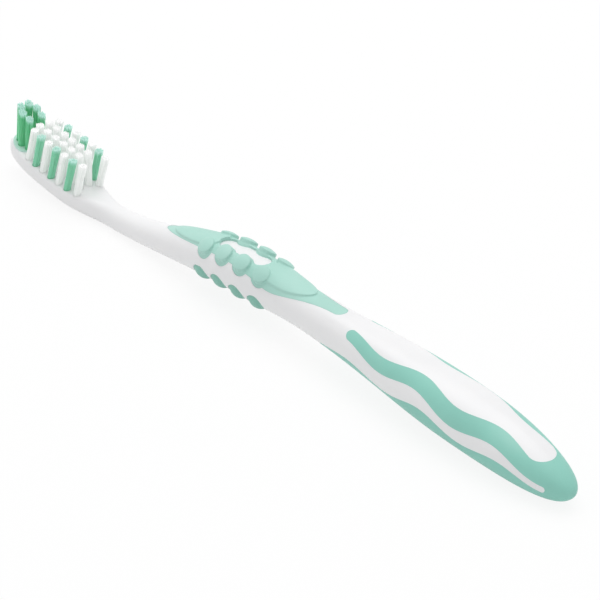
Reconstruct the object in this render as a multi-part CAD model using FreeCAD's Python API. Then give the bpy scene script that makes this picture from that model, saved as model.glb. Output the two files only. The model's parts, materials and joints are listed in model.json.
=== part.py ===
import FreeCAD, Part
import math
import os

# Manual toothbrush: a moulded handle core with soft grips moulded onto it and anchored bristle tufts.
# Millimetres and degrees. A station is a distance behind the tip of the head, along +X. +Y is the right
# side seen from the butt, +Z is up. The brush lies on its back with the bristles up. At the end all
# pieces move together, so that the origin is the middle of the base.

# Stretches of the body, in order from the tip of the head to the butt
HEAD_TIP_LENGTH = 19.0
HEAD_STRAIGHT_LENGTH = 4.0
SHOULDER_LENGTH = 15.8
NECK_LENGTH = 2.2
RISE_LENGTH = 47.0
WAIST_LENGTH = 18.4
SWELL_LENGTH = 49.2
BUTT_LENGTH = 34.4

# Width and thickness of the body at the end of those stretches
HEAD_WIDTH = 11.5
HEAD_THICKNESS = 5.0
NECK_WIDTH = 6.0
NECK_THICKNESS = 5.8
CREST_WIDTH = 11.6
CREST_THICKNESS = 11.0
WAIST_WIDTH = 9.6
WAIST_THICKNESS = 9.3
PALM_WIDTH = 15.3
PALM_THICKNESS = 12.9

# Height of the middle of the body, and of the bristle face at the back of the head
NECK_HEIGHT = 3.6
CREST_HEIGHT = 10.8
WAIST_HEIGHT = 10.5
PALM_HEIGHT = 8.6
BUTT_HEIGHT = 5.0
FACE_HEIGHT = 6.95
HEAD_TILT = 6.6

# How round the outlines and cross sections are: 2 is an ellipse, more is squarer
HEAD_OUTLINE_POWER = 2.2
TIP_EDGE_POWER = 2.5
TIP_EDGE_LENGTH = 5.0
BUTT_POWER = 2.3
FACE_POWER = 6.0
HEAD_BACK_POWER = 2.6
HANDLE_POWER = 2.25

# Soft layer: depth into the core, cap at the butt, raised panels of the thumb grip
SOFT_DEPTH = 1.2
CAP_DEPTH = 2.0
PANEL_RAISE = 0.45

# Thumb grip, measured from the crest
LEAF_NOSE_REACH = 29.6
LEAF_WIDEST_BEHIND = 8.0
LEAF_WIDTH = 10.0
LEAF_TAIL_LENGTH = 20.9
LEAF_TAIL_WIDTH = 3.8
PETAL_NOSE_REACH = 26.5
PETAL_WIDEST_AHEAD = 13.0
PETAL_END_LENGTH = 3.4
PETAL_WIDTH = 7.2
PANEL_WIDEST_BEHIND = 8.6
PANEL_FRONT_LENGTH = 2.2
PANEL_TAIL_LENGTH = 12.2
PANEL_WIDTH = 8.4
WINDOW_WIDTH = 4.6
WINDOW_MARGIN = 1.6
WINDOW_DEPTH = 0.6

# Bumps of the thumb and finger grips, placed by angles up the side of the cross section; the finger
# bumps sit a little ahead of the thumb bumps
BUMP_COUNT = 4
BUMP_PITCH = 6.3
LAST_BUMP_BEHIND = 6.8
FINGER_BUMP_AHEAD = 0.6
BUMP_DIAMETER = 4.4
SEAT_DIAMETER = 5.3
THUMB_BUMP_ANGLE = 51.0
THUMB_BUMP_HEIGHT = 1.25
THUMB_BUMP_DOME = 0.5
THUMB_SEAT_ANGLE = 47.0
FINGER_BUMP_ANGLE = 40.0
FINGER_BUMP_HEIGHT = 0.75
FINGER_BUMP_DOME = 0.9
FINGER_SEAT_ANGLE = 40.0
SIDE_STRIP = 1.8

# Finger grip
FINGER_MARGIN = 4.0
FINGER_WIDTH = 6.8

# Handle grip: waves counted from the waist, edges as angles up the side of the cross section
WAVE_PITCH = 24.0
WAVE_CREST_BEHIND = 17.2
UPPER_SWING = 8.2
LOWER_SWING = 9.4
UNDER_SWING = 8.1
UNDER_WAVE_LAG = 2.3
STRIPE_START_BEHIND = 17.0
STRIPE_NOSE_RADIUS = 1.5
STRIPE_ANGLE = 38.3
STRIPE_HALF_ANGLE = 14.2
STRIPE_WIDENING = 7.0
UNDER_START_BEHIND = 8.6
UNDER_ANGLE = -24.0
UNDER_RISE = 18.6
UNDER_RISE_START_BEHIND = 20.5
UNDER_RISE_LENGTH = 27.0
TONGUE_END_AHEAD = 7.0
BAND_END_AHEAD = 4.5

# Tip pad, measured from the tip of the head
PAD_NOSE = 1.4
PAD_WIDEST = 6.9
PAD_BACK_LENGTH = 2.4
PAD_WIDTH = 8.0
PAD_DEPTH = 0.8
PAD_RAISE = 0.3

# Tufts: filament bundles folded round a flat anchor in a blind hole
HOLE_DIAMETER = 1.9
HOLE_DEPTH = 3.0
TUFT_CLEARANCE = 0.03
TUFT_TOP_DIAMETER = 2.2
TUFT_HEIGHT = 9.0
TUFT_PITCH = 3.0
OUTER_COUNT = 7
OUTER_START = 10.7
OUTER_MARGIN = 1.4
OUTER_LEAN = 6.5
INNER_COUNT = 6
INNER_START = 12.2
INNER_OFFSET = 1.4
INNER_LEAN = -10.0
TIP_TUFT_PLACES = ((3.6, 1.2), (5.5, 2.2), (7.8, 1.9))
TIP_LEAN = -4.5
TIP_HEIGHT = 10.2
TIP_SLANT = 16.0
ANCHOR_LENGTH = 2.4
ANCHOR_THICKNESS = 0.3
ANCHOR_HEIGHT = 1.6
ANCHOR_SEAT = 0.4

# Fineness of the lofts and curves
RING_STEPS = 16
STATION_STEP = 3.0
END_STEPS = 10
LOWEST_STEP = 0.5
WAVE_POINTS_PER_PITCH = 8
TAIL_POINTS = 6

# Stations where the stretches end
WIDEST_AT = HEAD_TIP_LENGTH
SHOULDER_AT = WIDEST_AT + HEAD_STRAIGHT_LENGTH
NECK_AT = SHOULDER_AT + SHOULDER_LENGTH
NECK_END_AT = NECK_AT + NECK_LENGTH
CREST_AT = NECK_END_AT + RISE_LENGTH
WAIST_AT = CREST_AT + WAIST_LENGTH
PALM_AT = WAIST_AT + SWELL_LENGTH
LENGTH = PALM_AT + BUTT_LENGTH
STRIPE_AT = WAIST_AT + STRIPE_START_BEHIND
UNDER_AT = WAIST_AT + UNDER_START_BEHIND
TONGUE_END_AT = LENGTH - TONGUE_END_AHEAD
BAND_END_AT = LENGTH - BAND_END_AHEAD
FAR = LENGTH


def vector(x, y, z):
    return FreeCAD.Vector(x, y, z)


def eased(share):
    """Smooth step from 0 to 1."""
    share = min(max(share, 0.0), 1.0)
    return share * share * (3.0 - 2.0 * share)


def rounded(share, power):
    """From 1 down to 0 along a quarter of a superellipse."""
    share = min(max(share, 0.0), 1.0)
    return (1.0 - share ** power) ** (1.0 / power)


def stepped(keys, at):
    """Smooth steps through (station, value) keys."""
    value = keys[0][1]
    for (start, low), (end, high) in zip(keys, keys[1:]):
        if at > start:
            value = low + (high - low) * eased((at - start) / (end - start))
    return value


def flowing(keys, at):
    """Smooth curve through (station, value) keys that never overshoots a key."""
    at = min(max(at, keys[0][0]), keys[-1][0])
    slopes = [(b[1] - a[1]) / (b[0] - a[0]) for a, b in zip(keys, keys[1:])]
    tangents = [0.0]
    for before, after in zip(slopes, slopes[1:]):
        tangents.append(2.0 * before * after / (before + after) if before * after > 0.0 else 0.0)
    tangents.append(slopes[-1])
    place = 0
    while at > keys[place + 1][0]:
        place += 1
    span = keys[place + 1][0] - keys[place][0]
    t = (at - keys[place][0]) / span
    start = keys[place][1] + t * span * tangents[place]
    end = keys[place + 1][1] - (1.0 - t) * span * tangents[place + 1]
    return start + (end - start) * eased(t)


def head_middle(at):
    """Height of the middle of the head, which is straight and tilted."""
    return FACE_HEIGHT - HEAD_THICKNESS / 2.0 + (SHOULDER_AT - at) * math.tan(math.radians(HEAD_TILT))


def middle(at):
    """Height of the middle of the body."""
    keys = ((NECK_AT, NECK_HEIGHT), (CREST_AT, CREST_HEIGHT), (WAIST_AT, WAIST_HEIGHT),
            (PALM_AT, PALM_HEIGHT), (LENGTH, BUTT_HEIGHT))
    share = eased((at - SHOULDER_AT) / SHOULDER_LENGTH)
    return (1.0 - share) * head_middle(at) + share * flowing(keys, at)


def half_width(at, grow=0.0, butt_length=BUTT_LENGTH):
    """Half the width of the body, grown or shrunk all round."""
    keys = ((SHOULDER_AT, HEAD_WIDTH), (NECK_AT, NECK_WIDTH), (NECK_END_AT, NECK_WIDTH),
            (CREST_AT, CREST_WIDTH), (WAIST_AT, WAIST_WIDTH), (PALM_AT, PALM_WIDTH))
    half = stepped(keys, at) / 2.0 + grow
    half *= rounded(1.0 - at / HEAD_TIP_LENGTH, HEAD_OUTLINE_POWER)
    return half * rounded((at - PALM_AT) / butt_length, BUTT_POWER)


def half_thickness(at, grow=0.0, butt_length=BUTT_LENGTH):
    """Half the thickness of the body, grown or shrunk all round."""
    keys = ((SHOULDER_AT, HEAD_THICKNESS), (NECK_AT, NECK_THICKNESS), (NECK_END_AT, NECK_THICKNESS),
            (CREST_AT, CREST_THICKNESS), (WAIST_AT, WAIST_THICKNESS), (PALM_AT, PALM_THICKNESS))
    half = stepped(keys, at) / 2.0 + grow
    half *= rounded(1.0 - at / TIP_EDGE_LENGTH, TIP_EDGE_POWER)
    return half * rounded((at - PALM_AT) / butt_length, BUTT_POWER)


def section_point(at, angle, grow=0.0, butt_length=BUTT_LENGTH):
    """Point of a cross section; the angle goes up from the right side."""
    upper = stepped(((SHOULDER_AT, FACE_POWER), (NECK_AT, HANDLE_POWER)), at)
    lower = stepped(((SHOULDER_AT, HEAD_BACK_POWER), (NECK_AT, HANDLE_POWER)), at)
    across = math.cos(math.radians(angle))
    up = math.sin(math.radians(angle))
    power = upper if up > 0.0 else lower
    reach = (abs(across) ** power + abs(up) ** power) ** (-1.0 / power)
    y = half_width(at, grow, butt_length) * reach * across
    z = half_thickness(at, grow, butt_length) * reach * up
    return vector(at, y, middle(at) + z)


def ring(at, grow, butt_length):
    """Closed cross section of the body, in a right and a left half."""
    count = 2 * RING_STEPS
    points = [section_point(at, 360.0 * k / count - 90.0, grow, butt_length) for k in range(count)]
    curve = Part.BSplineCurve()
    curve.interpolate(Points=points, PeriodicFlag=True, Parameters=[k / count for k in range(count + 1)])
    return Part.Wire([curve.toShape(0.0, 0.5), curve.toShape(0.5, 1.0)])


def evenly(start, end, step):
    """Stations from start to end, about a step apart."""
    count = max(1, round((end - start) / step))
    return [start + (end - start) * k / count for k in range(count + 1)]


def closing_in(start, end):
    """Stations from start to end that crowd towards the end."""
    turn = math.pi / 2.0 / END_STEPS
    return [start + (end - start) * math.sin(turn * k) for k in range(END_STEPS + 1)]


def loft(stations, grow=0.0, butt_length=BUTT_LENGTH):
    """Solid body through the stations, pointed where its cross section closes."""
    sections = []
    for at in stations:
        if half_width(at, grow, butt_length) < 1e-6:
            sections.append(Part.Vertex(at, 0.0, middle(at)))
        else:
            sections.append(ring(at, grow, butt_length))
    return Part.makeLoft(sections, True)


def whole_body():
    """The outside of the brush, as if it were one moulding."""
    tip = closing_in(WIDEST_AT, 0.0)[::-1]
    shaft = evenly(WIDEST_AT, PALM_AT, STATION_STEP)
    return loft(tip + shaft[1:] + closing_in(PALM_AT, LENGTH)[1:])


def handle_body(grow, start, end):
    """A stretch of the handle, grown or shrunk all round."""
    return loft(evenly(start, end, STATION_STEP), grow)


def inner_body(start):
    """What stays hard under the soft layer, back to the inside of the butt cap."""
    trimmed = BUTT_LENGTH - CAP_DEPTH
    stations = evenly(start, PALM_AT, STATION_STEP) + closing_in(PALM_AT, PALM_AT + trimmed)[1:]
    return loft(stations, -SOFT_DEPTH, trimmed)


def curve_edge(points):
    curve = Part.BSplineCurve()
    curve.interpolate(Points=points)
    return curve.toShape()


def line_edge(start, end):
    return Part.LineSegment(start, end).toShape()


def arc_edge(start, through, end):
    return Part.Arc(start, through, end).toShape()


def face_of(edges):
    return Part.Face(Part.Wire(Part.sortEdges(edges)[0]))


def upright(face):
    """Solid above and below a plan outline."""
    face = face.copy()
    face.translate(vector(0.0, 0.0, -FAR))
    return face.extrude(vector(0.0, 0.0, 2.0 * FAR))


def crosswise(face):
    """Solid to both sides of a side outline."""
    face = face.copy()
    face.translate(vector(0.0, -FAR, 0.0))
    return face.extrude(vector(0.0, 2.0 * FAR, 0.0))


def above_middle(start, end, lift):
    """Everything above a line that runs along the middle of the body, lifted by some distance."""
    spine = [vector(at, 0.0, middle(at) + lift) for at in evenly(start, end, STATION_STEP)]
    front = vector(start, 0.0, FAR)
    back = vector(end, 0.0, FAR)
    edges = [curve_edge(spine), line_edge(spine[-1], back), line_edge(back, front),
             line_edge(front, spine[0])]
    return crosswise(face_of(edges))


def half_ellipse(at, reach, half):
    """Half an ellipse in plan, from the right side round the far end to the left side."""
    turn = arc_edge(vector(0.0, 1.0, 0.0), vector(1.0, 0.0, 0.0), vector(0.0, -1.0, 0.0))
    stretch = FreeCAD.Matrix()
    stretch.scale(reach, half, 1.0)
    stretch.move(at, 0.0, 0.0)
    return turn.transformGeometry(stretch)


def egg(at, ahead, behind, width):
    """Plan outline of two half ellipses that share their width."""
    return face_of([half_ellipse(at, -ahead, width / 2.0), half_ellipse(at, behind, width / 2.0)])


def leaf():
    """Plan outline of the thumb grip: an elliptical blade with a slim tail."""
    widest = CREST_AT + LEAF_WIDEST_BEHIND
    tail = widest + LEAF_TAIL_LENGTH
    keys = ((widest, LEAF_WIDTH / 2.0), (tail, LEAF_TAIL_WIDTH / 2.0))
    stations = [widest + LEAF_TAIL_LENGTH * k / TAIL_POINTS for k in range(TAIL_POINTS + 1)]
    right = [vector(at, stepped(keys, at), 0.0) for at in stations]
    left = [vector(p.x, -p.y, 0.0) for p in right]
    end = arc_edge(right[-1], vector(tail + LEAF_TAIL_WIDTH / 2.0, 0.0, 0.0), left[-1])
    nose = half_ellipse(widest, CREST_AT - LEAF_NOSE_REACH - widest, LEAF_WIDTH / 2.0)
    return face_of([nose, curve_edge(right), end, curve_edge(left)])


def bump_stations(ahead):
    return [CREST_AT + LAST_BUMP_BEHIND - ahead - BUMP_PITCH * k for k in range(BUMP_COUNT)]


def surface_at(at, angle):
    """Point of the body and the direction straight out of it."""
    step = 1.0
    along = section_point(at + step, angle) - section_point(at - step, angle)
    round_about = section_point(at, angle + step) - section_point(at, angle - step)
    return section_point(at, angle), round_about.cross(along).normalize()


def seats(side, seat_angle, ahead):
    """Round seats of the bumps, square to the body, on top (1) or underneath (-1)."""
    posts = []
    for at in bump_stations(ahead):
        for angle in (seat_angle, 180.0 - seat_angle):
            here, outward = surface_at(at, side * angle)
            foot = here - outward * SEAT_DIAMETER
            posts.append(Part.makeCylinder(SEAT_DIAMETER / 2.0, 2.0 * SEAT_DIAMETER, foot, outward))
    return posts


def bumps(side, bump_angle, height, sag, ahead, skin):
    """Round buttons with domed tops, on top (1) or underneath (-1), down to a skin inside the body."""
    radius = BUMP_DIAMETER / 2.0
    dome = (radius ** 2 + sag ** 2) / (2.0 * sag)
    buttons = []
    for at in bump_stations(ahead):
        for angle in (bump_angle, 180.0 - bump_angle):
            here, outward = surface_at(at, side * angle)
            post = Part.makeCylinder(radius, 2.0 * BUMP_DIAMETER, here - outward * BUMP_DIAMETER, outward)
            ball = Part.makeSphere(dome, here + outward * (height - dome))
            buttons.append(post.common(ball).cut(skin))
    return buttons


def window():
    """Plan outline of the opening between the two rows of bumps, before the lobes cut into it."""
    last = CREST_AT + LAST_BUMP_BEHIND
    first = last - BUMP_PITCH * (BUMP_COUNT - 1)
    radius = WINDOW_WIDTH / 2.0
    front = first + WINDOW_MARGIN + radius
    back = last - WINDOW_MARGIN - radius
    corners = [vector(front, radius, 0.0), vector(back, radius, 0.0),
               vector(back, -radius, 0.0), vector(front, -radius, 0.0)]
    edges = [line_edge(corners[0], corners[1]),
             arc_edge(corners[1], vector(back + radius, 0.0, 0.0), corners[2]),
             line_edge(corners[2], corners[3]),
             arc_edge(corners[3], vector(front - radius, 0.0, 0.0), corners[0])]
    return face_of(edges)


def wave(at):
    """Swing of the wavy edges, from 1 at a crest to -1 in a trough."""
    return math.cos(2.0 * math.pi * (at - WAIST_AT - WAVE_CREST_BEHIND) / WAVE_PITCH)


def stripe_edge(at, side):
    """Angle of the upper (1) or lower (-1) edge of the side stripe."""
    share = (at - STRIPE_AT) / (LENGTH - STRIPE_AT)
    swing = UPPER_SWING if side > 0.0 else LOWER_SWING
    return STRIPE_ANGLE + swing * wave(at) + side * (STRIPE_HALF_ANGLE + STRIPE_WIDENING * share)


def under_edge(at):
    """Angle of the upper edge of the stripe underneath."""
    rise = eased((at - WAIST_AT - UNDER_RISE_START_BEHIND) / UNDER_RISE_LENGTH)
    return UNDER_ANGLE + UNDER_RISE * rise + UNDER_SWING * wave(at - UNDER_WAVE_LAG)


def wave_stations(start, end):
    return evenly(start, end, WAVE_PITCH / WAVE_POINTS_PER_PITCH)


def tongue():
    """Plan outline of the hard top of the handle, all that lies ahead of the side stripes included."""
    nose = STRIPE_AT + STRIPE_NOSE_RADIUS
    turn = STRIPE_NOSE_RADIUS * (1.0 - math.sqrt(0.5))
    end_radius = section_point(TONGUE_END_AT, stripe_edge(TONGUE_END_AT, 1.0)).y
    stations = wave_stations(nose, TONGUE_END_AT - end_radius)
    edges = []
    for side in (-1.0, 1.0):
        points = [section_point(at, stripe_edge(at, 1.0)) for at in stations]
        points = [vector(p.x, side * p.y, 0.0) for p in points]
        outer = vector(STRIPE_AT, points[0].y + side * STRIPE_NOSE_RADIUS, 0.0)
        through = vector(STRIPE_AT + turn, points[0].y + side * turn, 0.0)
        far = vector(STRIPE_AT, side * FAR, 0.0)
        front = vector(-FAR, side * FAR, 0.0)
        edges += [curve_edge(points), arc_edge(points[0], through, outer), line_edge(outer, far),
                  line_edge(far, front)]
        if side < 0.0:
            left_front, left_end = front, points[-1]
    edges.append(line_edge(left_front, front))
    edges.append(arc_edge(left_end, vector(TONGUE_END_AT, 0.0, 0.0), points[-1]))
    return face_of(edges)


def band():
    """Side outline of the hard band between the side stripe and the stripe underneath."""
    nose = STRIPE_AT + STRIPE_NOSE_RADIUS
    turn = STRIPE_NOSE_RADIUS * (1.0 - math.sqrt(0.5))
    top_end = section_point(BAND_END_AT, stripe_edge(BAND_END_AT, -1.0)).z
    low_end = section_point(BAND_END_AT, under_edge(BAND_END_AT)).z
    end_radius = (top_end - low_end) / 2.0
    end = BAND_END_AT - end_radius
    top = [section_point(at, stripe_edge(at, -1.0)) for at in wave_stations(nose, end)]
    top = [vector(p.x, 0.0, p.z) for p in top]
    low = [section_point(at, under_edge(at)) for at in wave_stations(UNDER_AT + STRIPE_NOSE_RADIUS, end)]
    low = [vector(p.x, 0.0, p.z) for p in low]
    corner = vector(STRIPE_AT, 0.0, top[0].z + STRIPE_NOSE_RADIUS)
    through = vector(STRIPE_AT + turn, 0.0, top[0].z + turn)
    under_corner = vector(UNDER_AT, 0.0, low[0].z - STRIPE_NOSE_RADIUS)
    under_through = vector(UNDER_AT + turn, 0.0, low[0].z - turn)
    high = vector(STRIPE_AT, 0.0, FAR)
    high_front = vector(-FAR, 0.0, FAR)
    deep_front = vector(-FAR, 0.0, -FAR)
    deep = vector(UNDER_AT, 0.0, -FAR)
    tip = vector(BAND_END_AT, 0.0, (top[-1].z + low[-1].z) / 2.0)
    return face_of([curve_edge(top), arc_edge(top[0], through, corner), line_edge(corner, high),
                    line_edge(high, high_front), line_edge(high_front, deep_front),
                    line_edge(deep_front, deep), line_edge(deep, under_corner),
                    arc_edge(under_corner, under_through, low[0]), curve_edge(low),
                    arc_edge(low[-1], tip, top[-1])])


def handle_grip_room(inner):
    """Space of the handle grip, inside and outside of the body."""
    box = Part.makeBox(2.0 * FAR, 2.0 * FAR, 2.0 * FAR, vector(UNDER_AT - STRIPE_NOSE_RADIUS, -FAR, -FAR))
    top = upright(tongue()).common(above_middle(WAIST_AT, LENGTH, 0.0))
    return box.cut([inner, crosswise(band()), top])


def face_normal(extra=0.0):
    """Direction square to the bristle face, leaned back by some degrees more."""
    lean = math.radians(HEAD_TILT + extra)
    return vector(math.sin(lean), 0.0, math.cos(lean))


def foot_of(at, offset):
    """Point of the bristle face."""
    return vector(at, offset, head_middle(at) + HEAD_THICKNESS / 2.0)


def tip_pad():
    """Inlay round the feet of the tip tufts, let into the bristle face."""
    outline = egg(PAD_WIDEST, PAD_WIDEST - PAD_NOSE, PAD_BACK_LENGTH, PAD_WIDTH)
    slab = Part.makeBox(FAR, FAR, PAD_DEPTH + PAD_RAISE, vector(-FAR / 2.0, -FAR / 2.0, -PAD_DEPTH))
    slab.rotate(vector(0, 0, 0), vector(0, 1, 0), HEAD_TILT)
    slab.translate(foot_of(PAD_WIDEST, 0.0))
    return upright(outline).common(slab)


def tuft_plan():
    """Name, station, offset, lean, height and slant of the cut of every tuft."""
    plan = []
    for side, word in ((-1.0, "left"), (1.0, "right")):
        for k, (at, offset) in enumerate(TIP_TUFT_PLACES):
            fall = (at - TIP_TUFT_PLACES[0][0]) * math.tan(math.radians(TIP_SLANT))
            name = "tip_tuft_%s_%d" % (word, k + 1)
            plan.append((name, at, side * offset, TIP_LEAN, TIP_HEIGHT - fall, TIP_SLANT))
        for k in range(OUTER_COUNT):
            at = OUTER_START + TUFT_PITCH * k
            offset = side * (half_width(at) - OUTER_MARGIN)
            plan.append(("outer_tuft_%s_%d" % (word, k + 1), at, offset, OUTER_LEAN, TUFT_HEIGHT, 0.0))
        for k in range(INNER_COUNT):
            at = INNER_START + TUFT_PITCH * k
            offset = side * INNER_OFFSET
            plan.append(("inner_tuft_%s_%d" % (word, k + 1), at, offset, INNER_LEAN, TUFT_HEIGHT, 0.0))
    return plan


def hole(at, offset, lean):
    """Blind hole for a tuft, open upwards."""
    axis = face_normal(lean)
    bottom = foot_of(at, offset) - axis * HOLE_DEPTH
    return Part.makeCylinder(HOLE_DIAMETER / 2.0, 2.0 * HOLE_DEPTH, bottom, axis)


def anchor(at, offset, lean):
    """Flat plate across the foot of a tuft, biting into the wall of its hole."""
    plate = Part.makeBox(ANCHOR_LENGTH, ANCHOR_THICKNESS, ANCHOR_HEIGHT)
    plate.translate(vector(-ANCHOR_LENGTH / 2.0, -ANCHOR_THICKNESS / 2.0, ANCHOR_SEAT - HOLE_DEPTH))
    plate.rotate(vector(0, 0, 0), vector(0, 1, 0), HEAD_TILT + lean)
    plate.translate(foot_of(at, offset))
    return plate


def tuft(at, offset, lean, height, slant):
    """Bundle of filaments from the bottom of its hole to its trimmed top, slotted for its anchor."""
    axis = face_normal(lean)
    foot = foot_of(at, offset)
    radius = HOLE_DIAMETER / 2.0 - TUFT_CLEARANCE
    root = Part.makeCylinder(radius, HOLE_DEPTH, foot - axis * HOLE_DEPTH, axis)
    blade = Part.makeCone(radius, TUFT_TOP_DIAMETER / 2.0, height * 1.5, foot, axis)
    trim = Part.makeBox(FAR, FAR, FAR, vector(-FAR / 2.0, -FAR / 2.0, 0.0))
    trim.rotate(vector(0, 0, 0), vector(0, 1, 0), HEAD_TILT + slant)
    trim.translate(foot + axis * (height / math.cos(math.radians(lean))))
    return root.fuse(blade).cut([trim, anchor(at, offset, lean)]).removeSplitter()


def build():
    """All pieces by name, where they lie on the brush."""
    body = whole_body()
    inner = inner_body(NECK_END_AT)
    skin = handle_body(-SOFT_DEPTH / 2.0, NECK_END_AT, PALM_AT)
    raised = handle_body(PANEL_RAISE, NECK_END_AT, PALM_AT)
    upper = above_middle(NECK_END_AT, PALM_AT, SIDE_STRIP / 2.0)
    lower = Part.makeBox(2.0 * FAR, 2.0 * FAR, 2.0 * FAR, vector(-FAR, -FAR, -FAR))
    lower = lower.cut(above_middle(NECK_END_AT, PALM_AT, -SIDE_STRIP / 2.0))

    opening = upright(window())
    thumb_seats = seats(1.0, THUMB_SEAT_ANGLE, 0.0)
    thumb_room = upright(leaf()).cut(opening).fuse(thumb_seats).removeSplitter().common(upper).cut(inner)
    dip = opening.common(upper).cut([handle_body(-WINDOW_DEPTH, NECK_END_AT, PALM_AT)] + thumb_seats)
    reach = BUMP_PITCH * (BUMP_COUNT - 1) / 2.0
    finger_middle = CREST_AT + LAST_BUMP_BEHIND - FINGER_BUMP_AHEAD - reach
    finger_pad = upright(egg(finger_middle, reach + FINGER_MARGIN, reach + FINGER_MARGIN, FINGER_WIDTH))
    finger_seats = seats(-1.0, FINGER_SEAT_ANGLE, FINGER_BUMP_AHEAD)
    finger_room = finger_pad.fuse(finger_seats).removeSplitter().common(lower).cut(inner)
    grip_room = handle_grip_room(inner)
    pad = tip_pad()
    plan = tuft_plan()
    holes = [hole(at, offset, lean) for _, at, offset, lean, _, _ in plan]
    anchors = [anchor(at, offset, lean) for _, at, offset, lean, _, _ in plan]

    core = body
    for room in (thumb_room, dip, finger_room, grip_room, pad):
        core = core.cut(room)
    # A copy shares no edges with the rooms, so the joins below leave it as it is
    core = core.cut([drilled.fuse(plate) for drilled, plate in zip(holes, anchors)]).copy()

    petal = egg(CREST_AT - PETAL_WIDEST_AHEAD, PETAL_NOSE_REACH - PETAL_WIDEST_AHEAD,
                PETAL_END_LENGTH, PETAL_WIDTH)
    panel = egg(CREST_AT + PANEL_WIDEST_BEHIND, PANEL_FRONT_LENGTH, PANEL_TAIL_LENGTH, PANEL_WIDTH)
    panels = [upright(f).common(upper).common(raised).cut([skin, opening]) for f in (petal, panel)]
    thumb_bumps = bumps(1.0, THUMB_BUMP_ANGLE, THUMB_BUMP_HEIGHT, THUMB_BUMP_DOME, 0.0, skin)
    finger_bumps = bumps(-1.0, FINGER_BUMP_ANGLE, FINGER_BUMP_HEIGHT, FINGER_BUMP_DOME,
                         FINGER_BUMP_AHEAD, skin)
    thumb = body.common(thumb_room).fuse(panels + thumb_bumps).removeSplitter()
    finger = body.common(finger_room).fuse(finger_bumps).removeSplitter()
    pieces = {
        "handle_core": core,
        "thumb_grip": thumb,
        "finger_grip": finger,
        "handle_grip": body.common(grip_room),
        "tip_pad": pad.cut(holes),
        "tuft_anchors": Part.makeCompound(anchors),
    }
    for name, at, offset, lean, height, slant in plan:
        pieces[name] = tuft(at, offset, lean, height, slant)
    return pieces


def main():
    os.makedirs("parts", exist_ok=True)
    pieces = build()
    lowest = min(section_point(at, -90.0).z for at in evenly(0.0, LENGTH, LOWEST_STEP))
    for name, shape in pieces.items():
        shape.translate(vector(-LENGTH / 2.0, 0.0, -lowest))
        shape.exportStep("parts/%s.step" % name)


main()
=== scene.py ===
import json
import math
import random

import bpy
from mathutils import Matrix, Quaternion, Vector


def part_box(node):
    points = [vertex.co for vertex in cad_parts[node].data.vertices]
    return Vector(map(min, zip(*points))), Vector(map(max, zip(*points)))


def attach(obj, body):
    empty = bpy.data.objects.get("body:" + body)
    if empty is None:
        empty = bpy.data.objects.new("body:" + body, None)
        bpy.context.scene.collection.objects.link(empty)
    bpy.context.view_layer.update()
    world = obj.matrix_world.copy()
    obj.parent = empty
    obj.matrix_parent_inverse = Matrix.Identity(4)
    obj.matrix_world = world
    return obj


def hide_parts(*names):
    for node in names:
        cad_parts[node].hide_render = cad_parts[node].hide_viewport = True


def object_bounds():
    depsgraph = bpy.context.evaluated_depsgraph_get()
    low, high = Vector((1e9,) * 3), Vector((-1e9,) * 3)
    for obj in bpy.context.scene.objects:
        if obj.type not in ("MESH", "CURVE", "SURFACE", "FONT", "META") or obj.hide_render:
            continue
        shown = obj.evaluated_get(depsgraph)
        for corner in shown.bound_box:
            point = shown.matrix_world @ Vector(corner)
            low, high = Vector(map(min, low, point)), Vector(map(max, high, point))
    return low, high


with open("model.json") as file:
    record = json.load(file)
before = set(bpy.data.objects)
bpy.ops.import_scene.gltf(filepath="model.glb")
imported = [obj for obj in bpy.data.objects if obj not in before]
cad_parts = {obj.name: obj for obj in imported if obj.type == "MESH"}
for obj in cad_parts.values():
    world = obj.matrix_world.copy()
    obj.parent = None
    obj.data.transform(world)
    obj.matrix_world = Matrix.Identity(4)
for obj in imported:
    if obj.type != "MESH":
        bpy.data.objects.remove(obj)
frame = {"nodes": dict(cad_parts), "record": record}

bl_info = {
    "name": "Manual Toothbrush",
    "version": (1, 0, 0),
    "blender": (4, 5, 0),
    "location": "View3D > Sidebar > Toothbrush",
    "description": "Dresses the toothbrush frame with moulded finishes, soft grips and bristle tufts",
    "category": "Object",
}

CAD_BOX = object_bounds()
BODY = "root"
MILLIMETRE = 0.001
BLACK = (0.0, 0.0, 0.0)
WHITE = (1.0, 1.0, 1.0)
SENSOR_WIDTH = 36.0

# Middle stretch of a texture's values, which is spread over a range of roughness
TEXTURE_LOW = 0.3
TEXTURE_HIGH = 0.7

# Names of the tufts, group by group
TIP_TUFTS = sorted(name for name in frame["nodes"] if name.startswith("tip_tuft"))
OUTER_TUFTS = sorted(name for name in frame["nodes"] if name.startswith("outer_tuft"))
INNER_TUFTS = sorted(name for name in frame["nodes"] if name.startswith("inner_tuft"))

# What tells a tuft's end faces from its sides: the foot's reach above the lowest point, and the least and
# greatest upward part of a face's normal
FOOT_REACH = 0.8 * MILLIMETRE
FACING_DOWN = (-1.0, -0.8)
FACING_UP = (0.5, 1.0)

# Turn from one filament of a bundle to the next, stretches along a filament, and the angles of the rings
# that round its end
GOLDEN_ANGLE = math.pi * (3.0 - math.sqrt(5.0))
FILAMENT_STEPS = 5
END_RING_ANGLES = tuple(math.radians(angle) for angle in (0.0, 35.0, 68.0))


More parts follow.
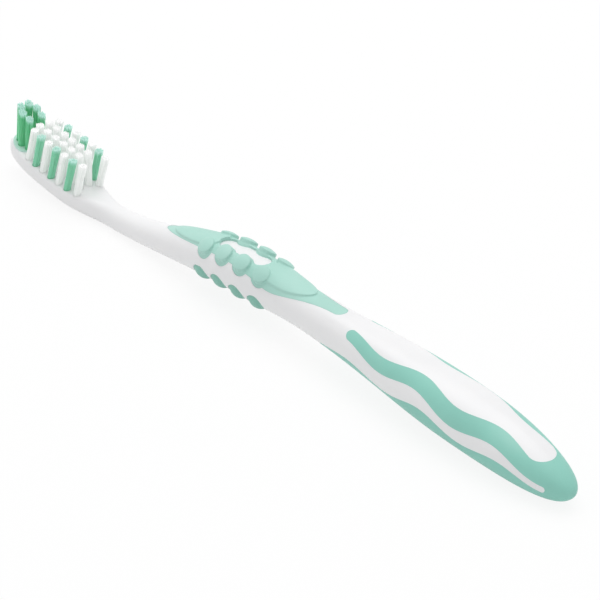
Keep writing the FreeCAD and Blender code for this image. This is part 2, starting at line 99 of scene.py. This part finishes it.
class FinishSettings(bpy.types.PropertyGroup):
    """Colours of the moulded pieces and of the filaments."""

    core_white: bpy.props.FloatVectorProperty(
        name="Core white", description="Hard plastic of the head, neck and handle",
        subtype="COLOR", min=0.0, max=1.0, default=(0.86, 0.858, 0.866))
    core_shade: bpy.props.FloatVectorProperty(
        name="Core shade", description="Slightly duller patches of the hard plastic",
        subtype="COLOR", min=0.0, max=1.0, default=(0.83, 0.83, 0.84))
    thumb_mint: bpy.props.FloatVectorProperty(
        name="Thumb mint", description="Pale elastomer of the thumb grip",
        subtype="COLOR", min=0.0, max=1.0, default=(0.40, 0.68, 0.60))
    # Paler mint of the tip pad: the same elastomer lightened as painted light, for a pad that sits in the
    # tufts' shade
    pad_mint_painted_light: bpy.props.FloatVectorProperty(
        name="Pad mint", description="Palest elastomer, of the pad at the tip of the head",
        subtype="COLOR", min=0.0, max=1.0, default=(0.52, 0.78, 0.69))
    # Darker mint of the finger grip: the same elastomer darkened as painted shade of the downward-facing
    # underside
    finger_mint_painted_shade: bpy.props.FloatVectorProperty(
        name="Finger mint", description="Elastomer of the pad under the grip",
        subtype="COLOR", min=0.0, max=1.0, default=(0.25, 0.53, 0.44))
    handle_mint: bpy.props.FloatVectorProperty(
        name="Handle mint", description="Deeper elastomer of the wavy stripes and the butt",
        subtype="COLOR", min=0.0, max=1.0, default=(0.27, 0.61, 0.52))
    anchor_brass: bpy.props.FloatVectorProperty(
        name="Anchor brass", description="Metal strip of the tuft anchors",
        subtype="COLOR", min=0.0, max=1.0, default=(0.72, 0.55, 0.25))
    # Undyed white nylon, with a faint green tint that is painted light bounced from the green tufts
    filament_white_with_painted_bounce: bpy.props.FloatVectorProperty(
        name="White filament", description="Undyed nylon",
        subtype="COLOR", min=0.0, max=1.0, default=(0.92, 0.95, 0.93))
    filament_green: bpy.props.FloatVectorProperty(
        name="Green filament", description="Dyed nylon of the outer tufts",
        subtype="COLOR", min=0.0, max=1.0, default=(0.234, 0.62, 0.41))
    # Deeper green of the tip tufts: the same dyed nylon darkened as painted shade of their shaded sides
    tip_green_painted_shade: bpy.props.FloatVectorProperty(
        name="Tip filament", description="Deeper dyed nylon of the tip tufts",
        subtype="COLOR", min=0.0, max=1.0, default=(0.147, 0.557, 0.284))
    # Paler colour of the undyed filament ends: a painted highlight on the tops that face the light
    white_end_painted_highlight: bpy.props.FloatVectorProperty(
        name="White end", description="Rounded ends of the undyed filaments",
        subtype="COLOR", min=0.0, max=1.0, default=(0.97, 0.97, 0.97))
    # Paler colour of the dyed filament ends: a painted highlight on the tops that face the light
    green_end_painted_highlight: bpy.props.FloatVectorProperty(
        name="Green end", description="Paler rounded ends of the dyed filaments",
        subtype="COLOR", min=0.0, max=1.0, default=(0.48, 0.77, 0.68))


class TuftSettings(bpy.types.PropertyGroup):
    """Filaments of a tuft."""

    filament_count: bpy.props.IntProperty(
        name="Filaments", description="Filaments that stand in one hole", min=8, max=120, default=54)
    filament_diameter: bpy.props.FloatProperty(
        name="Diameter", description="Thickness of one filament",
        subtype="DISTANCE", unit="LENGTH", default=0.00019)
    flare: bpy.props.FloatProperty(
        name="Flare", description="How much wider the bundle stands at its top than its solid",
        subtype="FACTOR", default=1.06)
    trim_scatter: bpy.props.FloatProperty(
        name="Trim scatter", description="How much the trimmed ends differ in height",
        subtype="DISTANCE", unit="LENGTH", default=0.00022)
    sway: bpy.props.FloatProperty(
        name="Sway", description="How far a filament's end strays to the side",
        subtype="DISTANCE", unit="LENGTH", default=0.00008)
    sides: bpy.props.IntProperty(
        name="Sides", description="Sides of one filament", min=4, max=12, default=6)
    seed: bpy.props.IntProperty(
        name="Seed", description="Start of the random draws", default=7)


class GripSettings(bpy.types.PropertyGroup):
    """Softness of the moulded edges."""

    voxel: bpy.props.FloatProperty(
        name="Voxel", description="Fineness of the softened surface",
        subtype="DISTANCE", unit="LENGTH", default=0.00014)
    rounds: bpy.props.IntProperty(
        name="Rounds", description="Smoothing rounds that soften the edges", min=0, max=60, default=6)


class StageSettings(bpy.types.PropertyGroup):
    """Camera, lamp and floor."""

    azimuth: bpy.props.FloatProperty(
        name="Azimuth", description="Camera's turn round the brush",
        subtype="ANGLE", unit="ROTATION", default=math.radians(44.94))
    elevation: bpy.props.FloatProperty(
        name="Elevation", description="Camera's height above the horizon",
        subtype="ANGLE", unit="ROTATION", default=math.radians(31.61))
    roll: bpy.props.FloatProperty(
        name="Roll", description="Camera's turn about its own view",
        subtype="ANGLE", unit="ROTATION", default=math.radians(3.88))
    distance: bpy.props.FloatProperty(
        name="Distance", description="From the camera to its target",
        subtype="DISTANCE", unit="LENGTH", default=0.7)
    target: bpy.props.FloatVectorProperty(
        name="Target", description="Point in the middle of the picture",
        subtype="XYZ", unit="LENGTH", default=(0.00939, -0.00035, 0.01114))
    lens: bpy.props.FloatProperty(
        name="Lens", description="Focal length in millimetres", default=184.2)
    lamp_power: bpy.props.FloatProperty(
        name="Lamp power", description="Power of the soft box above the brush",
        unit="POWER", default=8.5)
    lamp_size: bpy.props.FloatProperty(
        name="Lamp size", description="Side of the soft box",
        subtype="DISTANCE", unit="LENGTH", default=1.2)
    lamp_place: bpy.props.FloatVectorProperty(
        name="Lamp place", description="Middle of the soft box",
        subtype="XYZ", unit="LENGTH", default=(-0.25, 0.2, 1.2))
    sky: bpy.props.FloatProperty(
        name="Sky", description="Strength of the even light from all round", default=0.66)
    floor_size: bpy.props.FloatProperty(
        name="Floor size", description="Side of the floor",
        subtype="DISTANCE", unit="LENGTH", default=8.0)
    floor_colour: bpy.props.FloatVectorProperty(
        name="Floor colour", description="Colour of the matt floor",
        subtype="COLOR", min=0.0, max=1.0, default=(0.92, 0.92, 0.92))
    floor_glow: bpy.props.FloatProperty(
        name="Floor glow", description="Share of plain white in the floor that the camera sees",
        subtype="FACTOR", min=0.0, max=1.0, default=0.88)


def shader_node(tree, kind, **values):
    """New node of a material, with its properties set."""
    node = tree.nodes.new(kind)
    for name, value in values.items():
        setattr(node, name, value)
    return node


def new_material(name):
    """Empty node material with its main shader."""
    material = bpy.data.materials.new(name)
    material.use_nodes = True
    tree = material.node_tree
    return material, tree, tree.nodes["Principled BSDF"]


def object_noise(tree, scale, detail):
    """Noise fixed to the piece."""
    place = shader_node(tree, "ShaderNodeTexCoord")
    noise = shader_node(tree, "ShaderNodeTexNoise")
    noise.inputs["Scale"].default_value = scale
    noise.inputs["Detail"].default_value = detail
    tree.links.new(place.outputs["Object"], noise.inputs["Vector"])
    return noise


def ramp(tree, source, stops):
    """Colour ramp through (place, colour) stops."""
    node = shader_node(tree, "ShaderNodeValToRGB")
    elements = node.color_ramp.elements
    while len(elements) < len(stops):
        elements.new(0.5)
    for element, (place, colour) in zip(elements, stops):
        element.position = place
        element.color = (*colour, 1.0)
    tree.links.new(source, node.inputs["Fac"])
    return node.outputs["Color"]


def value_range(tree, source, low, high):
    """A texture's middle stretch spread over a range of values."""
    node = shader_node(tree, "ShaderNodeMapRange")
    node.inputs["From Min"].default_value = TEXTURE_LOW
    node.inputs["From Max"].default_value = TEXTURE_HIGH
    node.inputs["To Min"].default_value = low
    node.inputs["To Max"].default_value = high
    tree.links.new(source, node.inputs["Value"])
    return node.outputs["Result"]


def add_bump(tree, shader, source, depth, strength):
    """Fine relief."""
    bump = shader_node(tree, "ShaderNodeBump")
    bump.inputs["Distance"].default_value = depth
    bump.inputs["Strength"].default_value = strength
    tree.links.new(source, bump.inputs["Height"])
    tree.links.new(bump.outputs["Normal"], shader.inputs["Normal"])


def mix_of(colour, other, share):
    """Colour that lies a share of the way to another."""
    return tuple(a + (b - a) * share for a, b in zip(colour, other))


def moulded_white(finish):
    """Glossy moulded plastic: faint flow clouds and a fine tool texture."""
    material, tree, shader = new_material("moulded_white")
    clouds = object_noise(tree, scale=55.0, detail=3.0)
    grain = object_noise(tree, scale=2600.0, detail=2.0)
    stops = ((0.35, finish.core_shade), (0.65, finish.core_white))
    tree.links.new(ramp(tree, clouds.outputs["Fac"], stops), shader.inputs["Base Color"])
    roughness = value_range(tree, clouds.outputs["Fac"], low=0.27, high=0.36)
    tree.links.new(roughness, shader.inputs["Roughness"])
    add_bump(tree, shader, grain.outputs["Fac"], depth=0.02 * MILLIMETRE, strength=0.15)
    shader.inputs["IOR"].default_value = 1.49
    shader.inputs["Subsurface Weight"].default_value = 0.12
    shader.inputs["Subsurface Radius"].default_value = (1.0, 0.95, 0.9)
    shader.inputs["Subsurface Scale"].default_value = 0.8 * MILLIMETRE
    return material


def soft_mint(name, colour):
    """Satin elastomer: slightly uneven dye and a fine matt grain."""
    material, tree, shader = new_material(name)
    clouds = object_noise(tree, scale=80.0, detail=4.0)
    grain = object_noise(tree, scale=1900.0, detail=3.0)
    pale = mix_of(colour, WHITE, share=0.06)
    deep = mix_of(colour, BLACK, share=0.05)
    stops = ((0.3, deep), (0.5, colour), (0.7, pale))
    tree.links.new(ramp(tree, clouds.outputs["Fac"], stops), shader.inputs["Base Color"])
    roughness = value_range(tree, grain.outputs["Fac"], low=0.46, high=0.6)
    tree.links.new(roughness, shader.inputs["Roughness"])
    add_bump(tree, shader, grain.outputs["Fac"], depth=0.03 * MILLIMETRE, strength=0.25)
    shader.inputs["IOR"].default_value = 1.46
    shader.inputs["Sheen Weight"].default_value = 0.12
    shader.inputs["Sheen Roughness"].default_value = 0.45
    return material


def stamped_brass(finish):
    """Plain strip with fine rolling lines along its length."""
    material, tree, shader = new_material("stamped_brass")
    place = shader_node(tree, "ShaderNodeTexCoord")
    lines = shader_node(tree, "ShaderNodeTexWave", bands_direction="Z")
    lines.inputs["Scale"].default_value = 2200.0
    lines.inputs["Distortion"].default_value = 3.0
    tree.links.new(place.outputs["Object"], lines.inputs["Vector"])
    stops = ((0.2, mix_of(finish.anchor_brass, BLACK, share=0.15)), (0.8, finish.anchor_brass))
    tree.links.new(ramp(tree, lines.outputs["Fac"], stops), shader.inputs["Base Color"])
    roughness = value_range(tree, lines.outputs["Fac"], low=0.28, high=0.4)
    tree.links.new(roughness, shader.inputs["Roughness"])
    shader.inputs["Metallic"].default_value = 1.0
    return material


def nylon(name, colour, painted_highlight_end_colour):
    """Drawn nylon: filaments a little different, painted shade at the root, a painted highlight at the
    pale end, a faint painted glow and light that seeps through.
    """
    material, tree, shader = new_material(name)
    along = shader_node(tree, "ShaderNodeAttribute", attribute_name="along")
    shade = shader_node(tree, "ShaderNodeAttribute", attribute_name="shade")
    # The darker colour towards the root is painted shade at the crowded feet of the tufts
    deep = mix_of(colour, BLACK, share=0.06)
    dull = mix_of(WHITE, BLACK, share=0.07)
    stops = ((0.2, deep), (0.5, colour), (0.9, colour), (1.0, painted_highlight_end_colour))
    lengthways = ramp(tree, along.outputs["Fac"], stops)
    tint = shader_node(tree, "ShaderNodeMix", data_type="RGBA", blend_type="MULTIPLY")
    tint.inputs["Factor"].default_value = 1.0
    tree.links.new(lengthways, tint.inputs["A"])
    grey = ramp(tree, shade.outputs["Fac"], ((0.0, dull), (1.0, WHITE)))
    tree.links.new(grey, tint.inputs["B"])
    tree.links.new(tint.outputs["Result"], shader.inputs["Base Color"])
    roughness = value_range(tree, shade.outputs["Fac"], low=0.3, high=0.42)
    tree.links.new(roughness, shader.inputs["Roughness"])
    shader.inputs["IOR"].default_value = 1.53
    shader.inputs["Subsurface Weight"].default_value = 1.0
    shader.inputs["Subsurface Radius"].default_value = (1.0, 1.0, 1.0)
    shader.inputs["Subsurface Scale"].default_value = 0.6 * MILLIMETRE
    # Faint emission in the filament's own colour: a painted glow that brightens the tufts
    tree.links.new(tint.outputs["Result"], shader.inputs["Emission Color"])
    shader.inputs["Emission Strength"].default_value = 0.13
    return material


def clad(piece, material):
    """Give a piece one finish all over."""
    piece.data.materials.clear()
    piece.data.materials.append(material)


def clad_node(name, material):
    """Give a CAD node a finish through its own slots."""
    for slot in frame["nodes"][name].material_slots:
        slot.material = material


def node_slot(name):
    """Material slot that the record gives a node."""
    for entry in frame["record"]["subparts"]:
        if entry["node"] == name:
            return entry["material_slot"]
    raise RuntimeError("the record has no node named " + name)


def add_piece(name, mesh, node):
    """New piece that stands for a CAD node and moves with it."""
    piece = bpy.data.objects.new(name, mesh)
    bpy.context.scene.collection.objects.link(piece)
    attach(piece, BODY)
    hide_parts(node)
    return piece


def softened_mesh(node, settings):
    """A node's mesh with its sharp edges softened, as a moulded elastomer has them."""
    scratch = bpy.data.objects.new(node + "_scratch", frame["nodes"][node].data.copy())
    bpy.context.scene.collection.objects.link(scratch)
    remesh = scratch.modifiers.new("remesh", "REMESH")
    remesh.mode = "VOXEL"
    remesh.voxel_size = settings.voxel
    smooth = scratch.modifiers.new("smooth", "SMOOTH")
    smooth.factor = 0.5
    smooth.iterations = settings.rounds
    depsgraph = bpy.context.evaluated_depsgraph_get()
    mesh = bpy.data.meshes.new_from_object(scratch.evaluated_get(depsgraph))
    bpy.data.objects.remove(scratch)
    mesh.shade_smooth()
    return mesh


def facing(mesh, lowest, highest, upward):
    """Mean centre, mean normal and corners of the faces in a range of heights that face a given way."""
    least_up, most_up = upward
    centre = Vector()
    normal = Vector()
    area = 0.0
    corners = []
    for face in mesh.polygons:
        if lowest <= face.center.z <= highest and least_up <= face.normal.z <= most_up:
            centre += face.center * face.area
            normal += face.normal * face.area
            area += face.area
            corners += [mesh.vertices[index].co for index in face.vertices]
    if area == 0.0:
        raise RuntimeError("a tuft has no end face in " + mesh.name)
    return centre / area, normal.normalized(), corners


def tuft_ends(node):
    """Foot, axis and root radius of a tuft's solid, and the middle, normal and radius of its top."""
    mesh = frame["nodes"][node].data
    low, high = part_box(node)
    middle = (low.z + high.z) / 2.0
    foot, down, rim = facing(mesh, low.z, low.z + FOOT_REACH, FACING_DOWN)
    top, cut, edge = facing(mesh, middle, high.z, FACING_UP)
    axis = -down
    root_radius = max((corner - foot).length for corner in rim)
    across = [(corner - top) - axis * (corner - top).dot(axis) for corner in edge]
    return foot, axis, root_radius, top, cut, max(step.length for step in across)


def filament_path(start, axis, end):
    """Points of a filament that leaves its hole straight and then strays to its end."""
    control = start + axis * ((end - start).dot(axis) / 2.0)
    points = []
    for k in range(FILAMENT_STEPS + 1):
        t = k / FILAMENT_STEPS
        points.append(start * (1.0 - t) ** 2 + control * (2.0 * t * (1.0 - t)) + end * t ** 2)
    return points


def add_filament(build, points, radius, sides, shade):
    """Tube along the points with a rounded end; build collects vertices, faces and attributes."""
    steps = len(points) - 1
    heading = (points[-1] - points[-2]).normalized()
    rings = [(point, radius, k / steps) for k, point in enumerate(points[:-1])]
    for turn in END_RING_ANGLES:
        lift = radius * (math.sin(turn) - 1.0)
        rings.append((points[-1] + heading * lift, radius * math.cos(turn), 1.0))
    side = heading.orthogonal().normalized()
    other = heading.cross(side)
    first = len(build["vertices"])
    for place, reach, along in rings:
        for k in range(sides):
            angle = 2.0 * math.pi * k / sides
            build["vertices"].append(place + (side * math.cos(angle) + other * math.sin(angle)) * reach)
            build["along"].append(along)
            build["shade"].append(shade)
    for row in range(len(rings) - 1):
        for k in range(sides):
            here = first + row * sides + k
            beside = first + row * sides + (k + 1) % sides
            build["faces"].append((here, beside, beside + sides, here + sides))
    last = first + (len(rings) - 1) * sides
    build["faces"].append(tuple(range(first + sides - 1, first - 1, -1)))
    build["faces"].append(tuple(range(last, last + sides)))


def tuft_mesh(node, settings, draw):
    """Bundle of filaments in the place of a tuft's solid."""
    foot, axis, root_radius, top, cut, top_radius = tuft_ends(node)
    side = axis.orthogonal().normalized()
    other = axis.cross(side)
    radius = settings.filament_diameter / 2.0
    build = {"vertices": [], "faces": [], "along": [], "shade": []}
    for k in range(settings.filament_count):
        share = math.sqrt((k + 0.5) / settings.filament_count)
        angle = GOLDEN_ANGLE * k
        outward = side * math.cos(angle) + other * math.sin(angle)
        start = foot + outward * (share * (root_radius - radius))
        spread = outward * (share * (top_radius * settings.flare - radius))
        spread += side * draw.uniform(-settings.sway, settings.sway)
        spread += other * draw.uniform(-settings.sway, settings.sway)
        rise = -spread.dot(cut) / axis.dot(cut) - draw.uniform(0.0, settings.trim_scatter)
        end = top + spread + axis * rise
        add_filament(build, filament_path(start, axis, end), radius, settings.sides, draw.random())
    mesh = bpy.data.meshes.new(node)
    mesh.from_pydata(build["vertices"], [], build["faces"])
    for kind in ("along", "shade"):
        mesh.attributes.new(kind, "FLOAT", "POINT").data.foreach_set("value", build[kind])
    mesh.shade_smooth()
    mesh.update()
    return mesh


class TOOTHBRUSH_OT_core(bpy.types.Operator):
    """Finish the hard core of head, neck and handle."""

    bl_idname = "toothbrush.core"
    bl_label = "Handle Core"

    def execute(self, context):
        clad_node("handle_core", moulded_white(context.scene.toothbrush_finish))
        return {"FINISHED"}


class TOOTHBRUSH_OT_grips(bpy.types.Operator):
    """Build the thumb and finger grips with soft edges and finish all elastomer pieces."""

    bl_idname = "toothbrush.grips"
    bl_label = "Soft Grips"

    def execute(self, context):
        finish = context.scene.toothbrush_finish
        settings = context.scene.toothbrush_grip
        # The finger grip's darker mint is painted shade of the underside
        for node, name in (("thumb_grip", "thumb_mint"), ("finger_grip", "finger_mint_painted_shade")):
            piece = add_piece(node + "_moulded", softened_mesh(node, settings), node)
            clad(piece, soft_mint(name, getattr(finish, name)))
        # The tip pad's paler mint is painted light
        for node, name in (("handle_grip", "handle_mint"), ("tip_pad", "pad_mint_painted_light")):
            clad_node(node, soft_mint(name, getattr(finish, name)))
        return {"FINISHED"}


class TOOTHBRUSH_OT_tufts(bpy.types.Operator):
    """Build every tuft as a bundle of filaments."""

    bl_idname = "toothbrush.tufts"
    bl_label = "Bristle Tufts"

    def execute(self, context):
        finish = context.scene.toothbrush_finish
        settings = context.scene.toothbrush_tuft
        draw = random.Random(settings.seed)
        white = nylon("nylon_white", finish.filament_white_with_painted_bounce, finish.white_end_painted_highlight)
        green = nylon("nylon_green", finish.filament_green, finish.green_end_painted_highlight)
        # The tip tufts take a copy of the green nylon darkened as painted shade
        tip_green_painted_shade = nylon("nylon_tip_green_painted_shade", finish.tip_green_painted_shade, finish.green_end_painted_highlight)
        for node in TIP_TUFTS + OUTER_TUFTS + INNER_TUFTS:
            piece = add_piece(node + "_filaments", tuft_mesh(node, settings, draw), node)
            dyed = tip_green_painted_shade if node in TIP_TUFTS else green
            clad(piece, dyed if node_slot(node) == "green_filaments" else white)
        return {"FINISHED"}


class TOOTHBRUSH_OT_anchors(bpy.types.Operator):
    """Finish the metal anchors in the feet of the tufts."""

    bl_idname = "toothbrush.anchors"
    bl_label = "Tuft Anchors"

    def execute(self, context):
        clad_node("tuft_anchors", stamped_brass(context.scene.toothbrush_finish))
        return {"FINISHED"}


def background_rays(tree):
    """1 for the rays that show the background: seen, mirrored or let through; 0 for all others."""
    path = shader_node(tree, "ShaderNodeLightPath")
    seen = path.outputs["Is Camera Ray"]
    for ray in ("Is Glossy Ray", "Is Transmission Ray"):
        either = shader_node(tree, "ShaderNodeMath", operation="MAXIMUM")
        tree.links.new(seen, either.inputs[0])
        tree.links.new(path.outputs[ray], either.inputs[1])
        seen = either.outputs["Value"]
    return seen


def white_floor(stage):
    """Pale floor that the camera sees as white and that keeps the shadow."""
    material = bpy.data.materials.new("pale_floor")
    material.use_nodes = True
    tree = material.node_tree
    tree.nodes.clear()
    out = shader_node(tree, "ShaderNodeOutputMaterial")
    matt = shader_node(tree, "ShaderNodeBsdfDiffuse")
    matt.inputs["Color"].default_value = (*stage.floor_colour, 1.0)
    glow = shader_node(tree, "ShaderNodeEmission")
    share = shader_node(tree, "ShaderNodeMath", operation="MULTIPLY")
    share.inputs[1].default_value = stage.floor_glow
    tree.links.new(background_rays(tree), share.inputs[0])
    mixed = shader_node(tree, "ShaderNodeMixShader")
    tree.links.new(share.outputs["Value"], mixed.inputs["Fac"])
    tree.links.new(matt.outputs["BSDF"], mixed.inputs[1])
    tree.links.new(glow.outputs["Emission"], mixed.inputs[2])
    tree.links.new(mixed.outputs["Shader"], out.inputs["Surface"])
    return material


def lay_floor(stage):
    """Wide floor just under the brush."""
    half = stage.floor_size / 2.0
    height = CAD_BOX[0].z
    mesh = bpy.data.meshes.new("floor")
    square = ((-half, -half), (half, -half), (half, half), (-half, half))
    mesh.from_pydata([(x, y, height) for x, y in square], [], [(0, 1, 2, 3)])
    floor = bpy.data.objects.new("floor", mesh)
    bpy.context.scene.collection.objects.link(floor)
    clad(floor, white_floor(stage))


def hang_lamp(stage):
    """Soft box above the brush."""
    lamp = bpy.data.lights.new("soft_box", "AREA")
    lamp.shape = "SQUARE"
    lamp.size = stage.lamp_size
    lamp.energy = stage.lamp_power
    holder = bpy.data.objects.new("soft_box", lamp)
    holder.location = stage.lamp_place
    aim = Vector(stage.target) - Vector(stage.lamp_place)
    holder.rotation_euler = aim.to_track_quat("-Z", "Y").to_euler()
    bpy.context.scene.collection.objects.link(holder)


def light_sky(stage):
    """Even light from all round, plain white as a background."""
    world = bpy.data.worlds.new("studio")
    world.use_nodes = True
    tree = world.node_tree
    sky = tree.nodes["Background"]
    sky.inputs["Color"].default_value = (*WHITE, 1.0)
    strength = shader_node(tree, "ShaderNodeMapRange")
    strength.inputs["To Min"].default_value = stage.sky
    strength.inputs["To Max"].default_value = 1.0
    tree.links.new(background_rays(tree), strength.inputs["Value"])
    tree.links.new(strength.outputs["Result"], sky.inputs["Strength"])
    bpy.context.scene.world = world


def aim_camera(stage):
    """Camera at the photographed view."""
    data = bpy.data.cameras.new("camera")
    data.sensor_width = SENSOR_WIDTH
    data.lens = stage.lens
    camera = bpy.data.objects.new("camera", data)
    level = math.cos(stage.elevation)
    back = Vector((math.sin(stage.azimuth) * level, -math.cos(stage.azimuth) * level,
                   math.sin(stage.elevation)))
    camera.location = Vector(stage.target) + back * stage.distance
    camera.rotation_mode = "QUATERNION"
    turn = Quaternion((0.0, 0.0, 1.0), stage.roll)
    camera.rotation_quaternion = (-back).to_track_quat("-Z", "Y") @ turn
    bpy.context.scene.collection.objects.link(camera)
    bpy.context.scene.camera = camera


class TOOTHBRUSH_OT_stage(bpy.types.Operator):
    """Set the floor, the light and the camera."""

    bl_idname = "toothbrush.stage"
    bl_label = "Stage"

    def execute(self, context):
        stage = context.scene.toothbrush_stage
        lay_floor(stage)
        hang_lamp(stage)
        light_sky(stage)
        aim_camera(stage)
        context.scene.view_settings.view_transform = "Standard"
        return {"FINISHED"}


class TOOTHBRUSH_PT_panel(bpy.types.Panel):
    """Pieces of the toothbrush and their settings."""

    bl_label = "Toothbrush"
    bl_idname = "TOOTHBRUSH_PT_panel"
    bl_space_type = "VIEW_3D"
    bl_region_type = "UI"
    bl_category = "Toothbrush"

    def draw(self, context):
        layout = self.layout
        for operator in OPERATORS:
            layout.operator(operator.bl_idname)
        for group in SETTINGS:
            box = layout.box()
            settings = getattr(context.scene, group)
            for name in settings.bl_rna.properties.keys():
                if name not in ("name", "rna_type"):
                    box.prop(settings, name)


OPERATORS = (TOOTHBRUSH_OT_core, TOOTHBRUSH_OT_grips, TOOTHBRUSH_OT_tufts, TOOTHBRUSH_OT_anchors,
             TOOTHBRUSH_OT_stage)
SETTINGS = {
    "toothbrush_finish": FinishSettings,
    "toothbrush_grip": GripSettings,
    "toothbrush_tuft": TuftSettings,
    "toothbrush_stage": StageSettings,
}


def register():
    """Make the settings, operators and panel known."""
    for settings in SETTINGS.values():
        bpy.utils.register_class(settings)
    for name, settings in SETTINGS.items():
        setattr(bpy.types.Scene, name, bpy.props.PointerProperty(type=settings))
    for operator in OPERATORS:
        bpy.utils.register_class(operator)
    bpy.utils.register_class(TOOTHBRUSH_PT_panel)


def unregister():
    """Take them out again."""
    bpy.utils.unregister_class(TOOTHBRUSH_PT_panel)
    for operator in reversed(OPERATORS):
        bpy.utils.unregister_class(operator)
    for name in SETTINGS:
        delattr(bpy.types.Scene, name)
    for settings in SETTINGS.values():
        bpy.utils.unregister_class(settings)


def main():
    """Dress the brush and set the stage."""
    register()
    bpy.ops.toothbrush.core()
    bpy.ops.toothbrush.grips()
    bpy.ops.toothbrush.tufts()
    bpy.ops.toothbrush.anchors()
    bpy.ops.toothbrush.stage()


if __name__ == "__main__":
    main()
